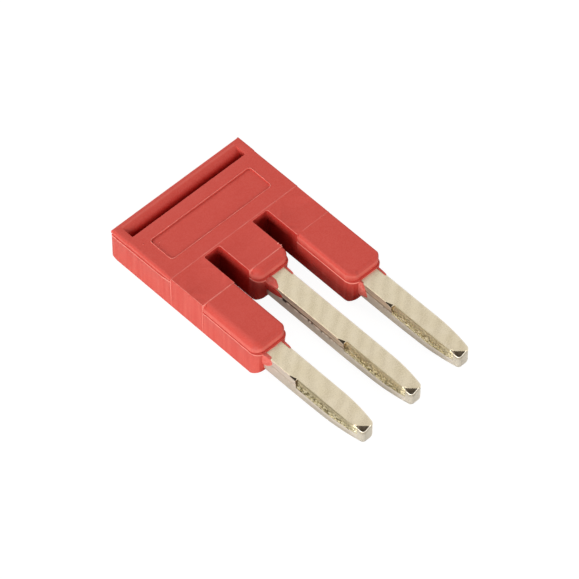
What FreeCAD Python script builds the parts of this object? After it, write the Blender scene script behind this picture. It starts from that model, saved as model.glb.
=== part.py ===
import FreeCAD, Part
import os

import Sketcher

# Three-way plug-in jumper bar for terminal blocks, lying flat on its underside.
# X runs across the three legs, the prongs point to -Y, and Z is the thickness.
# The origin is under the middle of the overall box, on the surface it lies on.

SIZES = {
    # comb layout
    "pitch": 5.2,
    "leg_gap": 1.6,
    "side_margin": 1.65,
    "total_length": 27.5,
    # moulded housing, lengths from the rear edge
    "housing_thickness": 3.45,
    "cap_length": 1.9,
    "label_end": 6.9,
    "gap_root": 7.1,
    "waist_end": 10.55,
    "middle_leg_end": 11.65,
    "outer_leg_end": 16.9,
    # edges left by the mould halves
    "parting_depth": 0.8,
    "grip_parting_depth": 0.3,
    "parting_step": 0.04,
    "grip_edge_radius": 0.26,
    "right_edge_radius": 0.1,
    "leg_edge_radius": 0.72,
    "leg_corner_radius": 0.85,
    "foot_radius": 0.16,
    "gap_root_radius": 0.3,
    "witness_width": 0.08,
    "witness_rise": 0.03,
    # pull slot behind the label recess
    "pull_bar_width": 1.16,
    "pull_bar_round": 0.66,
    "slot_width": 0.56,
    "slot_end_wall": 0.72,
    "slot_depth": 2.4,
    # label recess
    "recess_side_wall": 1.44,
    "recess_start": 2.93,
    "recess_length": 2.59,
    "recess_depth": 0.13,
    "recess_radius": 0.3,
    # moulded collars round the prong roots
    "collar_length": 1.0,
    "collar_root_wall": 0.26,
    "collar_tip_wall": 0.1,
    "collar_height": 1.1,
    "collar_top_gap": 0.02,
    # stamped contact comb
    "blade_thickness": 1.8,
    "prong_width": 1.95,
    "tip_width": 1.19,
    "taper_length": 3.3,
    "taper_blend_radius": 20.0,
    "nose_radius": 0.35,
    "roll_radius": 0.2,
    "bridge_start": 3.4,
    "bridge_width": 2.9,
    "bevel_length": 7.1,
    "bevel_width": 0.34,
    "bevel_depth": 0.6,
    "facet_length": 0.8,
    "facet_width": 0.74,
    "facet_depth": 0.12,
}

# Positions written as expressions of the sheet's cells
REAR = "sizes.total_length / 2"
TIP = "-sizes.total_length / 2"
HALF_WIDTH = "(sizes.pitch + sizes.side_margin)"
HALF_LEG = "(sizes.pitch - sizes.leg_gap) / 2"
HALF_PRONG = "sizes.prong_width / 2"
HALF_TIP = "sizes.tip_width / 2"
TOP = "sizes.housing_thickness"
PARTING = "(sizes.housing_thickness - sizes.parting_depth)"
BLADE_BASE = "(sizes.housing_thickness - sizes.blade_thickness) / 2"
BLADE_TOP = "(sizes.housing_thickness + sizes.blade_thickness) / 2"
LEGS = {"left": "-sizes.pitch", "middle": "0 * sizes.pitch", "right": "sizes.pitch"}
NEAR = 1e-4


def behind_rear(length):
    """Y of a station that lies the given length in front of the rear edge."""
    return f"({REAR} - {length})"


def make_sheet(doc):
    """Put every driving size in its own named cell."""
    sheet = doc.addObject("Spreadsheet::Sheet", "sizes")
    for row, (name, value) in enumerate(SIZES.items(), start=1):
        sheet.set(f"A{row}", name)
        sheet.set(f"B{row}", str(value))
        sheet.setAlias(f"B{row}", name)
    doc.recompute()
    return sheet


def origin_plane(body, role):
    """The body's own origin plane with this role."""
    return next(f for f in body.Origin.OriginFeatures if f.Role == role)


def sketch_on(body, name, role, offset):
    """An empty sketch parallel to an origin plane, its offset bound to the sheet."""
    sketch = body.newObject("Sketcher::SketchObject", name)
    sketch.AttachmentSupport = [(origin_plane(body, role), "")]
    sketch.MapMode = "FlatFace"
    sketch.setExpression("AttachmentOffset.Base.z", offset)
    return sketch


def polygon(sketch, corners):
    """Closed outline whose corners are bound to pairs of expressions."""
    points = []
    for across, along in corners:
        x = float(sketch.evalExpression(across))
        y = float(sketch.evalExpression(along))
        points.append(FreeCAD.Vector(x, y, 0))
    first = sketch.GeometryCount
    count = len(points)
    for index, point in enumerate(points):
        sketch.addGeometry(Part.LineSegment(point, points[(index + 1) % count]), False)
    for index in range(count):
        following = first + (index + 1) % count
        sketch.addConstraint(Sketcher.Constraint("Coincident", first + index, 2, following, 1))
    for index, (across, along) in enumerate(corners):
        for kind, text, value in (
            ("DistanceX", across, points[index].x),
            ("DistanceY", along, points[index].y),
        ):
            place = sketch.addConstraint(Sketcher.Constraint(kind, -1, 1, first + index, 1, value))
            sketch.setExpression(f"Constraints[{place}]", text)


def rectangle(sketch, left, right, front, rear):
    """Rectangle between two X and two Y expressions."""
    polygon(sketch, [(left, front), (right, front), (right, rear), (left, rear)])


def pad(body, name, sketch, length):
    """Extrude a sketch upwards by a bound length."""
    feature = body.newObject("PartDesign::Pad", name)
    feature.Profile = sketch
    feature.setExpression("Length", length)
    body.Document.recompute()
    return feature


def pocket(body, name, sketch, length, reverse=False):
    """Cut a sketch to a bound depth and make sure that it took material away."""
    before = body.Shape.Volume
    feature = body.newObject("PartDesign::Pocket", name)
    feature.Profile = sketch
    feature.Reversed = reverse
    feature.setExpression("Length", length)
    body.Document.recompute()
    if not feature.Shape.Volume < before - NEAR:
        raise RuntimeError(f"{name} cuts nothing")
    return feature


def dress(body, kind, name, base, edges, radius):
    """Round the given edges of a feature by a bound radius."""
    feature = body.newObject(f"PartDesign::{kind}", name)
    feature.Base = (base, edges)
    feature.setExpression("Radius", radius)
    body.Document.recompute()
    return feature


def edge_names(feature, keep):
    """Names of the feature's edges whose bounding box passes the test."""
    edges = feature.Shape.Edges
    return [f"Edge{i}" for i, edge in enumerate(edges, start=1) if keep(edge.BoundBox)]


def soften_foot(body, name, keep):
    """Round the kept edges of a body's underside."""
    edges = edge_names(body.Tip, lambda b: b.ZMax < NEAR and keep(b))
    return dress(body, "Fillet", name, body.Tip, edges, "sizes.foot_radius")


def is_upright(box):
    """True for an edge that runs straight up."""
    return box.ZLength > NEAR and box.XLength < NEAR and box.YLength < NEAR


def block(doc, name, plan, height):
    """A body with one upright block of the given plan."""
    body = doc.addObject("PartDesign::Body", name)
    sketch = sketch_on(body, f"{name}_plan", "XY_Plane", "0 mm")
    rectangle(sketch, *plan)
    pad(body, f"{name}_block", sketch, height)
    return body


def upper_block(body, name, plan, depth):
    """The slightly narrower block that the upper mould half adds."""
    sketch = sketch_on(body, f"{name}_plan", "XY_Plane", f"{TOP} - {depth}")
    rectangle(sketch, *plan)
    return pad(body, name, sketch, depth)


def make_cap(doc):
    """Rear zone, with the pull bar behind a blind slot."""
    front = behind_rear("sizes.cap_length")
    body = block(doc, "cap_zone", (f"-{HALF_WIDTH}", HALF_WIDTH, front, REAR), TOP)
    soften_foot(body, "cap_foot", lambda b: b.XLength < NEAR)
    top = body.evalExpression(TOP)
    front_y = body.evalExpression(front)
    rim = edge_names(body.Tip, lambda b: b.ZMin > top - NEAR and b.YMax > front_y + NEAR and b.XMin < 0)
    rounded = dress(body, "Fillet", "cap_rim", body.Tip, rim, "sizes.grip_edge_radius")
    right = edge_names(rounded, lambda b: b.ZMin > top - NEAR and b.XMin > 0 and b.YLength > NEAR)
    dress(body, "Fillet", "cap_right_rim", rounded, right, "sizes.right_edge_radius")

    bar_front = behind_rear("sizes.pull_bar_width")
    slot_front = behind_rear("(sizes.pull_bar_width + sizes.slot_width)")
    slot_end = f"({HALF_WIDTH} - sizes.slot_end_wall)"
    sketch = sketch_on(body, "slot_plan", "XY_Plane", TOP)
    rectangle(sketch, f"-{slot_end}", slot_end, slot_front, bar_front)
    slot = pocket(body, "pull_slot", sketch, "sizes.slot_depth")
    bar_y = body.evalExpression(bar_front)
    edge = edge_names(slot, lambda b: b.ZMin > top - NEAR and abs(b.YMin - bar_y) < NEAR and b.YLength < NEAR)
    dress(body, "Fillet", "pull_bar_rounding", slot, edge, "sizes.pull_bar_round")
    return body


def make_label_zone(doc):
    """Middle of the grip, with rounded upper edges and the label recess."""
    rear = behind_rear("sizes.cap_length")
    front = behind_rear("sizes.label_end")
    depth = "sizes.grip_parting_depth"
    plan = (f"-{HALF_WIDTH}", HALF_WIDTH, front, rear)
    body = block(doc, "label_zone", plan, f"{TOP} - {depth}")
    soften_foot(body, "label_foot", lambda b: b.XLength < NEAR)
    inner = f"({HALF_WIDTH} - sizes.parting_step)"
    upper = upper_block(body, "label_upper", (f"-{inner}", inner, front, rear), depth)
    top = body.evalExpression(TOP)
    rim = edge_names(upper, lambda b: b.ZMin > top - NEAR and b.XMax < 0)
    rounded = dress(body, "Fillet", "label_rim", upper, rim, "sizes.grip_edge_radius")
    right = edge_names(rounded, lambda b: b.ZMin > top - NEAR and b.XMin > 0)
    dress(body, "Fillet", "label_right_rim", rounded, right, "sizes.right_edge_radius")

    side = f"({HALF_WIDTH} - sizes.recess_side_wall)"
    start = behind_rear("sizes.recess_start")
    end = behind_rear("(sizes.recess_start + sizes.recess_length)")
    sketch = sketch_on(body, "recess_plan", "XY_Plane", TOP)
    rectangle(sketch, f"-{side}", side, end, start)
    recess = pocket(body, "label_recess", sketch, "sizes.recess_depth")
    floor = body.evalExpression(f"{TOP} - sizes.recess_depth")
    corners = edge_names(recess, lambda b: is_upright(b) and b.ZMin > floor - NEAR)
    dress(body, "Fillet", "recess_corners", recess, corners, "sizes.recess_radius")
    return body


def make_waist(doc):
    """Sharp-edged zone from which the three legs divide."""
    rear = behind_rear("sizes.label_end")
    front = behind_rear("sizes.waist_end")
    root = behind_rear("sizes.gap_root")
    body = block(doc, "waist_zone", (f"-{HALF_WIDTH}", HALF_WIDTH, front, rear), TOP)
    sketch = sketch_on(body, "gap_plan", "XY_Plane", TOP)
    rectangle(sketch, f"-({HALF_LEG} + sizes.leg_gap)", f"-{HALF_LEG}", front, root)
    gap = pocket(body, "leg_gap_left", sketch, TOP)
    mirror = body.newObject("PartDesign::Mirrored", "leg_gap_pair")
    mirror.Originals = [gap]
    mirror.MirrorPlane = (origin_plane(body, "YZ_Plane"), [""])
    body.Tip = mirror
    doc.recompute()
    root_y = body.evalExpression(root)
    corners = edge_names(mirror, lambda b: is_upright(b) and abs(b.YMin - root_y) < NEAR)
    dress(body, "Fillet", "gap_roots", mirror, corners, "sizes.gap_root_radius")
    ends = (body.evalExpression(rear), body.evalExpression(front))
    soften_foot(body, "waist_foot", lambda b: b.YLength > NEAR or min(abs(b.YMin - y) for y in ends) > NEAR)
    return body


def round_nose(body, rear, radius):
    """Round the two upright front edges of a body that starts at the rear position."""
    rear_y = body.evalExpression(rear)
    corners = edge_names(body.Tip, lambda b: is_upright(b) and b.YMax < rear_y - NEAR)
    return dress(body, "Fillet", f"{body.Name}_nose", body.Tip, corners, radius)


def make_leg_front(doc, name, left, right, end):
    """Front of one leg: a lower block, and an upper one rounded all round above the parting line."""
    rear = behind_rear("sizes.waist_end")
    front = behind_rear(end)
    step = "sizes.parting_step"
    lower = block(doc, f"{name}_lower", (left, right, front, rear), PARTING)
    round_nose(lower, rear, f"sizes.leg_corner_radius + {step}")
    rear_y = lower.evalExpression(rear)
    soften_foot(lower, f"{name}_foot", lambda b: b.YMin < rear_y - NEAR)

    upper = doc.addObject("PartDesign::Body", f"{name}_upper")
    inset = (f"({left} + {step})", f"({right} - {step})", f"({front} + {step})", rear)
    upper_block(upper, f"{name}_upper_block", inset, "sizes.parting_depth")
    rounded = round_nose(upper, rear, "sizes.leg_corner_radius")
    top = upper.evalExpression(TOP)
    rim = edge_names(rounded, lambda b: b.ZMin > top - NEAR and b.YMin < rear_y - NEAR)
    dress(upper, "Fillet", f"{name}_rim", rounded, rim, "sizes.leg_edge_radius")
    return [lower, upper]


def make_collar(doc, name, centre, end):
    """Thin lips that hug both flanks of a prong where it leaves its leg."""
    root_half = f"({HALF_PRONG} + sizes.collar_root_wall)"
    tip_half = f"({HALF_PRONG} + sizes.collar_tip_wall)"
    face = behind_rear(end)
    root = f"({face} + sizes.leg_corner_radius)"
    tip = f"({face} - sizes.collar_length)"
    body = doc.addObject("PartDesign::Body", name)
    base = f"{BLADE_TOP} - sizes.collar_top_gap - sizes.collar_height"
    sketch = sketch_on(body, f"{name}_plan", "XY_Plane", base)
    left = [(f"{centre} - {root_half}", root), (f"{centre} - {root_half}", face), (f"{centre} - {tip_half}", tip)]
    right = [(f"{centre} + {tip_half}", tip), (f"{centre} + {root_half}", face), (f"{centre} + {root_half}", root)]
    polygon(sketch, left + right)
    pad(body, f"{name}_lips", sketch, "sizes.collar_height")
    return body


def make_witness(doc, name, left, right, station):
    """Low raised line where two mould inserts met."""
    ridge = doc.addObject("Part::Box", name)
    sunk = "sizes.witness_width"
    ridge.setExpression("Length", f"{right} - {left}")
    ridge.setExpression("Width", "sizes.witness_width")
    ridge.setExpression("Height", f"{sunk} + sizes.witness_rise")
    ridge.setExpression("Placement.Base.x", left)
    ridge.setExpression("Placement.Base.y", f"{station} - sizes.witness_width / 2")
    ridge.setExpression("Placement.Base.z", f"{TOP} - {sunk}")
    doc.recompute()
    return ridge


def leg_sides(side):
    """Left and right expressions of one leg; outer legs reach the housing's sides."""
    inner = f"({HALF_LEG} + sizes.leg_gap)"
    return {
        "left": (f"-{HALF_WIDTH}", f"-{inner}"),
        "middle": (f"-{HALF_LEG}", HALF_LEG),
        "right": (inner, HALF_WIDTH),
    }[side]


def comb_outline():
    """Corners of the stamped comb: the bridge strip and three tapered prongs."""
    start = behind_rear("sizes.bridge_start")
    front = behind_rear("(sizes.bridge_start + sizes.bridge_width)")
    taper = f"({TIP} + sizes.taper_length)"
    edge = f"(sizes.pitch + {HALF_PRONG})"
    corners = [(f"-{edge}", start), (edge, start)]
    for side in ("right", "middle", "left"):
        centre = LEGS[side]
        flank = [
            (f"{centre} + {HALF_PRONG}", front),
            (f"{centre} + {HALF_PRONG}", taper),
            (f"{centre} + {HALF_TIP}", TIP),
            (f"{centre} - {HALF_TIP}", TIP),
            (f"{centre} - {HALF_PRONG}", taper),
            (f"{centre} - {HALF_PRONG}", front),
        ]
        if side == "right":
            flank = flank[1:]
        if side == "left":
            flank = flank[:-1]
        corners += flank
    return corners


def bevel_outline(centre):
    """Section of the coined bevel on a prong's upper left edge."""
    left = f"{centre} - {HALF_PRONG}"
    outside = f"{left} - sizes.bevel_width"
    above = f"{BLADE_TOP} + sizes.bevel_width"
    return [
        (left, f"{BLADE_TOP} - sizes.bevel_depth"),
        (f"{left} + sizes.bevel_width", BLADE_TOP),
        (f"{left} + sizes.bevel_width", above),
        (outside, above),
        (outside, f"{BLADE_TOP} - sizes.bevel_depth"),
    ]


def facet_outline(centre):
    """Plan of the facet pressed into the left corner of a prong's tip."""
    left = f"{centre} - {HALF_PRONG}"
    end = f"{centre} - {HALF_TIP} + sizes.facet_width"
    reach = f"sizes.facet_length * (1 + ({HALF_PRONG} - {HALF_TIP}) / sizes.facet_width)"
    beyond = f"{TIP} - sizes.facet_depth"
    return [(left, f"{TIP} + {reach}"), (left, beyond), (end, beyond), (end, TIP)]


def make_comb(doc):
    """Contact comb: one stamping with a bridge strip and three prongs."""
    body = doc.addObject("PartDesign::Body", "contact_comb")
    sketch = sketch_on(body, "comb_plan", "XY_Plane", BLADE_BASE)
    polygon(sketch, comb_outline())
    blank = pad(body, "comb_blank", sketch, "sizes.blade_thickness")

    tip_y = body.evalExpression(TIP)
    taper_y = body.evalExpression(f"{TIP} + sizes.taper_length")
    shoulders = edge_names(blank, lambda b: is_upright(b) and abs(b.YMin - taper_y) < NEAR)
    blended = dress(body, "Fillet", "taper_blends", blank, shoulders, "sizes.taper_blend_radius")
    noses = edge_names(blended, lambda b: is_upright(b) and abs(b.YMin - tip_y) < NEAR)
    nosed = dress(body, "Fillet", "prong_noses", blended, noses, "sizes.nose_radius")
    base = body.evalExpression(BLADE_BASE)
    lower = edge_names(nosed, lambda b: b.ZMax < base + NEAR and b.YMin < tip_y + NEAR and b.YLength < NEAR)
    dress(body, "Fillet", "die_roll", nosed, lower, "sizes.roll_radius")

    start = f"-({TIP} + sizes.bevel_length)"
    sketch = sketch_on(body, "bevel_section", "XZ_Plane", start)
    for centre in LEGS.values():
        polygon(sketch, bevel_outline(centre))
    pocket(body, "coined_bevels", sketch, "sizes.total_length", reverse=True)

    sketch = sketch_on(body, "facet_plan", "XY_Plane", BLADE_TOP)
    for centre in LEGS.values():
        polygon(sketch, facet_outline(centre))
    pocket(body, "tip_facets", sketch, "sizes.facet_depth")
    return body


def make_housing(doc, comb):
    """Moulded housing: every mould zone joined, less the space the comb fills."""
    zones = [make_cap(doc), make_label_zone(doc), make_waist(doc)]
    for side, centre in LEGS.items():
        end = "sizes.middle_leg_end" if side == "middle" else "sizes.outer_leg_end"
        left, right = leg_sides(side)
        zones += make_leg_front(doc, f"leg_front_{side}", left, right, end)
        zones.append(make_collar(doc, f"collar_{side}", centre, end))
        zones.append(make_witness(doc, f"leg_witness_{side}", left, right, behind_rear("sizes.waist_end")))
    zones.append(make_witness(doc, "grip_witness", f"-{HALF_WIDTH}", HALF_WIDTH, behind_rear("sizes.label_end")))

    moulding = doc.addObject("Part::MultiFuse", "moulding")
    moulding.Shapes = zones
    moulding.Refine = True
    housing = doc.addObject("Part::Cut", "housing")
    housing.Base = moulding
    housing.Tool = comb
    doc.recompute()
    return housing


def check(doc, nodes):
    """Stop if anything failed to build."""
    for item in doc.Objects:
        if "Invalid" in item.State or "Error" in item.State:
            raise RuntimeError(f"{item.Name} failed: {item.State}")
    for node in nodes:
        shape = node.Shape
        if shape.isNull() or not shape.isValid() or len(shape.Solids) != 1:
            raise RuntimeError(f"{node.Label} is not one valid solid")


def main():
    """Build the jumper bar and write each piece to its own file."""
    doc = FreeCAD.newDocument("jumper_bar")
    make_sheet(doc)
    comb = make_comb(doc)
    housing = make_housing(doc, comb)
    nodes = [housing, comb]
    check(doc, nodes)
    os.makedirs("parts", exist_ok=True)
    for node in nodes:
        box = node.Shape.BoundBox
        node.Shape.exportStep(f"parts/{node.Label}.step")
        print(f"{node.Label}: {node.Shape.Volume:.2f} mm3, {box.XLength:.2f} x {box.YLength:.2f} x {box.ZLength:.2f}")


main()
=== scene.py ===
"""Terminal block jumper bar: a red moulded housing on a stamped, plated contact comb.

Sizes inside the classes are in millimetres, in the CAD frame: X across the legs, the prongs towards -Y and Z
through the thickness. A station is a distance in front of the housing's rear edge. A tone, from -1 to 1, blends a
finish towards its dark or its pale colour; tones carry painted light and shade as well as the part's own marks.
"""

import logging
import math
from dataclasses import dataclass
from enum import IntEnum
from typing import Any, Callable, Mapping, Sequence

import bpy
import numpy as np
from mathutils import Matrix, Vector
from mathutils.geometry import delaunay_2d_cdt


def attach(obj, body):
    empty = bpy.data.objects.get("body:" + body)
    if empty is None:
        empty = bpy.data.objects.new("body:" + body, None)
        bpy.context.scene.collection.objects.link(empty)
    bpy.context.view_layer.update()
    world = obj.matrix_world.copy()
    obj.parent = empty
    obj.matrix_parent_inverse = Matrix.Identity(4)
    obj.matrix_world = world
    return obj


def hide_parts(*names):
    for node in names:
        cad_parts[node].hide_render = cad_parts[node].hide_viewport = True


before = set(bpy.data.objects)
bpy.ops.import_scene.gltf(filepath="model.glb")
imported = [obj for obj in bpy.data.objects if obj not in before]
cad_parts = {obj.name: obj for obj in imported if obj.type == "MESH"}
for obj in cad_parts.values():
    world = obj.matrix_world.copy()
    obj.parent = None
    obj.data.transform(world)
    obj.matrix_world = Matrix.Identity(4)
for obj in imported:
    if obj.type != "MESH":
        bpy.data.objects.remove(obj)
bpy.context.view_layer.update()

log = logging.getLogger("jumper_bar")

MM = 0.001
REAR = 13.75
HOUSING_TOP = 3.45
BLADE_LOW, BLADE_HIGH = 0.825, 2.625
PITCH = 5.2
# Plan curves: the radius under which an arc's sides stay clear of points, the steps on arcs, the nearest two
# points, and half the width of a change of section.
SMALL_ARC, ARC_STEP, NEAREST, STEP_HALF = 0.4, 0.07, 0.005, 0.015
QUARTER = np.pi / 2


class Finish(IntEnum):
    """Material slots, in the order in which a piece carries them."""

    MAIN = 0
    FLANK = 1
    COINED = 2
    FACET = 3


# --------------------------------------------------------------------------- surfaces


def ragged(along: np.ndarray, grain: float, seed: int) -> np.ndarray:
    """Smooth random values from 0 to 1 along a line.

    A random value stands at every grain of length, and a cosine joins each to the next:
    value = a + (b - a) * (1 - cos(pi * part)) / 2.

    Args:
        along: distances along the line, in mm.
        grain: distance between two random values, in mm.
        seed: number that fixes the random values.

    Returns:
        One value per distance.
    """
    knots = np.random.default_rng(seed).random(int(np.max(along) / grain) + 3)
    place = along / grain
    first = np.floor(place).astype(int)
    ease = (1 - np.cos(np.pi * (place - first))) / 2
    return knots[first] + (knots[first + 1] - knots[first]) * ease


@dataclass(frozen=True)
class Corner:
    """Corner of a plan, in mm, and the radius that rounds it."""

    x: float
    y: float
    radius: float


@dataclass
class Outline:
    """Closed plan curve, counter-clockwise, with its unit normals towards the inside.

    A point of a corner's arc also has the arc's radius as its limit, and the corner's mitre: the way that a
    mitred corner moves per unit of inset.
    """

    points: np.ndarray
    inward: np.ndarray
    limit: np.ndarray
    mitre: np.ndarray

    @classmethod
    def rounded(cls, corners: Sequence[Corner], stations: Sequence[float], step: float) -> "Outline":
        """Plan with rounded corners.

        Each corner gives way to the arc that touches both of its sides. The arc starts radius * tan(turn / 2)
        before the corner, and its heading turns evenly from one side's direction to the next one's.

        Args:
            corners: corners in counter-clockwise order.
            stations: Y values at which the straight sides get a point of their own.
            step: distance between points on a straight side, in mm.

        Returns:
            The outline.
        """
        places = np.array([(corner.x, corner.y) for corner in corners])
        radii = np.array([corner.radius for corner in corners])
        ahead = np.roll(places, -1, axis=0) - places
        lengths = np.linalg.norm(ahead, axis=1)
        after = ahead / lengths[:, None]
        before = np.roll(after, 1, axis=0)
        turns = np.arctan2(
            before[:, 0] * after[:, 1] - before[:, 1] * after[:, 0], (before * after).sum(axis=1)
        )
        trims = radii * np.abs(np.tan(turns / 2))
        clear = np.where((turns > 0) & (radii < SMALL_ARC), np.maximum(SMALL_ARC - trims, 0), 0)
        points, inward, limit, mitre = [], [], [], []
        for index, place in enumerate(places):
            count = max(3, math.ceil(abs(turns[index]) * radii[index] / ARC_STEP)) + 1
            heading = math.atan2(before[index, 1], before[index, 0]) + turns[index] * np.linspace(0, 1, count)
            left = np.stack([-np.sin(heading), np.cos(heading)], axis=1)
            reach = radii[index] * np.sign(turns[index])
            centre = place - before[index] * trims[index] + left[0] * reach
            points.append(centre - left * reach)
            inward.append(left)
            limit.append(np.full(len(left), radii[index] if turns[index] > 0 else np.inf))
            mitre.append(np.tile((left[0] + left[-1]) / (1 + left[0] @ left[-1]), (len(left), 1)))

            start = place + after[index] * trims[index]
            follower = (index + 1) % len(places)
            run = lengths[index] - trims[index] - trims[follower]
            offsets = np.linspace(0, run, max(2, math.ceil(run / step)) + 1)[1:-1]
            offsets = offsets[(offsets > clear[index]) & (offsets < run - clear[follower])]
            if abs(after[index, 1]) > 0.5:
                marked = (np.asarray(stations, dtype=float) - start[1]) / after[index, 1]
                inside = (marked > NEAREST) & (marked < run - NEAREST)
                offsets = np.concatenate([offsets, marked[inside]])
            offsets = np.unique(np.round(offsets, 5))
            points.append(start + offsets[:, None] * after[index])
            inward.append(np.tile(left[-1], (len(offsets), 1)))
            limit.append(np.full(len(offsets), np.inf))
            mitre.append(np.zeros((len(offsets), 2)))
        return cls(*(np.concatenate(part) for part in (points, inward, limit, mitre)))

    @classmethod
    def through(cls, points: np.ndarray) -> "Outline":
        """Plan through given points; each normal is square to the chord between the two neighbours."""
        chord = np.roll(points, -1, axis=0) - np.roll(points, 1, axis=0)
        chord /= np.linalg.norm(chord, axis=1)[:, None]
        inward = np.stack([-chord[:, 1], chord[:, 0]], axis=1)
        return cls(points, inward, np.full(len(points), np.inf), np.zeros_like(points))

    @classmethod
    def rectangle(cls, half: float, rear: float, front: float, radius: float, step: float) -> "Outline":
        """Rounded rectangle from -half to half, between two Y values."""
        places = ((-half, rear), (-half, front), (half, front), (half, rear))
        return cls.rounded([Corner(x, y, radius) for x, y in places], (), step)

    @property
    def along(self) -> np.ndarray:
        """Distance of each point from the first, measured along the curve."""
        steps = np.linalg.norm(np.diff(self.points, axis=0), axis=1)
        return np.concatenate([[0.0], np.cumsum(steps)])

    def stack(self, insets: np.ndarray, heights: np.ndarray) -> np.ndarray:
        """Rings of the outline: point + inward normal * inset, lifted to the height.

        Where the inset passes 9 tenths of a corner's radius, the rest of it moves the small arc that is left along
        the corner's mitre.

        Args:
            insets: (rings, points) distances towards the inside.
            heights: (rings, points) Z values.

        Returns:
            (rings, points, 3) places.
        """
        own = np.minimum(insets, 0.9 * self.limit[None])
        plan = self.points[None] + self.inward[None] * own[..., None] + self.mitre[None] * (insets - own)[..., None]
        return np.concatenate([plan, heights[..., None]], axis=2)


def spread(values: Sequence[Any], count: int) -> np.ndarray:
    """Stack rows into (rows, count); a row may be one number or one number per point."""
    return np.stack([np.broadcast_to(np.asarray(value, dtype=float), (count,)) for value in values])


@dataclass
class Sheet:
    """Rings while they are made: (rings, points) arrays of insets, heights, tones and finishes."""

    insets: np.ndarray
    heights: np.ndarray
    tones: np.ndarray
    finishes: np.ndarray

    @classmethod
    def of(cls, sections: Sequence[tuple[Any, Any]], count: int) -> "Sheet":
        """Sheet with the insets and heights of some sections, in the main finish."""
        insets, heights = (spread([section[part] for section in sections], count) for part in (0, 1))
        return cls(insets, heights, np.zeros_like(heights), np.full(heights.shape, int(Finish.MAIN)))


def inside_loops(places: np.ndarray, loops: Sequence[np.ndarray]) -> np.ndarray:
    """Tell which places lie inside an odd number of loops.

    A ray towards +X is counted where it crosses a loop's edges: the edge spans the place's Y, and its X there is
    larger.
    """
    odd = np.zeros(len(places), dtype=bool)
    for loop in loops:
        start, end = loop, np.roll(loop, -1, axis=0)
        spans = (start[None, :, 1] > places[:, None, 1]) != (end[None, :, 1] > places[:, None, 1])
        rise = end[:, 1] - start[:, 1]
        rise = np.where(rise == 0, 1e-12, rise)
        share = (places[:, None, 1] - start[None, :, 1]) / rise[None]
        crossing = start[None, :, 0] + share * (end[:, 0] - start[:, 0])[None]
        odd ^= (spans & (crossing > places[:, None, 0])).sum(axis=1) % 2 == 1
    return odd


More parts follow.
